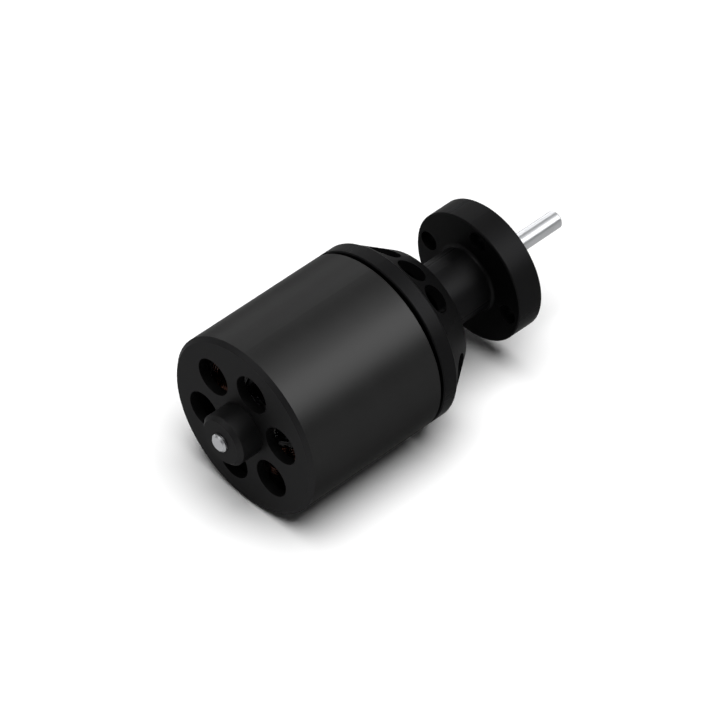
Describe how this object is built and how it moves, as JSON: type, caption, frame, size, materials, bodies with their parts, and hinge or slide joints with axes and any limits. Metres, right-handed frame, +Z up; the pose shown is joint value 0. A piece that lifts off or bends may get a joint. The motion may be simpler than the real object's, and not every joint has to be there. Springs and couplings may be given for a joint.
{
  "type": "brushless motor",
  "caption": "Outrunner brushless motor with a vented end bell, a vented cone mount, a round bolt-on flange and a through shaft.",
  "frame": {"origin": "centre of the flange's mounting face, on the shaft axis", "axes": "+X along the shaft towards the drive end, +Z up with the motor lying on its side, +Y completes the set"},
  "size_m": [0.1173, 0.05, 0.05],
  "materials": {
    "black_anodised": "satin black anodised",
    "flux_steel": "satin black coated steel",
    "magnet_nickel": "nickel plated",
    "shaft_steel": "ground and polished",
    "bearing_steel": "ground",
    "cage_steel": "pressed",
    "spring_steel": "phosphated spring steel",
    "screw_steel": "black oxide",
    "core_steel": "stacked laminations",
    "insulator_plastic": "moulded",
    "enamelled_copper": "enamelled wire"
  },
  "bodies": {
    "stator": {"mount_housing": "black_anodised", "stator_core": "core_steel", "drive_end_insulator": "insulator_plastic", "bell_end_insulator": "insulator_plastic", "phase_a_coils": "enamelled_copper", "phase_b_coils": "enamelled_copper", "phase_c_coils": "enamelled_copper", "bell_bearing_outer_ring": "bearing_steel", "bell_bearing_shields": "cage_steel", "drive_bearing_outer_ring": "bearing_steel", "drive_bearing_shields": "cage_steel"},
    "rotor": {"end_bell": "black_anodised", "flux_ring": "flux_steel", "magnets": "magnet_nickel", "shaft": "shaft_steel", "bell_grub_screws": "screw_steel", "bell_spacer": "bearing_steel", "thrust_washer": "bearing_steel", "shaft_circlip": "spring_steel", "bell_bearing_inner_ring": "bearing_steel", "drive_bearing_inner_ring": "bearing_steel"},
    "bell_ball_set": {"bell_bearing_balls": "bearing_steel", "bell_bearing_cage": "cage_steel"},
    "drive_ball_set": {"drive_bearing_balls": "bearing_steel", "drive_bearing_cage": "cage_steel"}
  },
  "joints": [
    {"name": "rotor_spin", "type": "hinge", "parent": "stator", "child": "rotor", "pos_m": [0, 0, 0], "axis": [1, 0, 0], "continuous": true},
    {"name": "bell_ball_set_spin", "type": "hinge", "parent": "stator", "child": "bell_ball_set", "pos_m": [-0.07745, 0, 0], "axis": [1, 0, 0], "continuous": true},
    {"name": "drive_ball_set_spin", "type": "hinge", "parent": "stator", "child": "drive_ball_set", "pos_m": [-0.004, 0, 0], "axis": [1, 0, 0], "continuous": true}
  ],
  "couplings": [
    {"joint": "bell_ball_set_spin", "follows": "rotor_spin", "ratio": 0.3889},
    {"joint": "drive_ball_set_spin", "follows": "rotor_spin", "ratio": 0.3889}
  ]
}
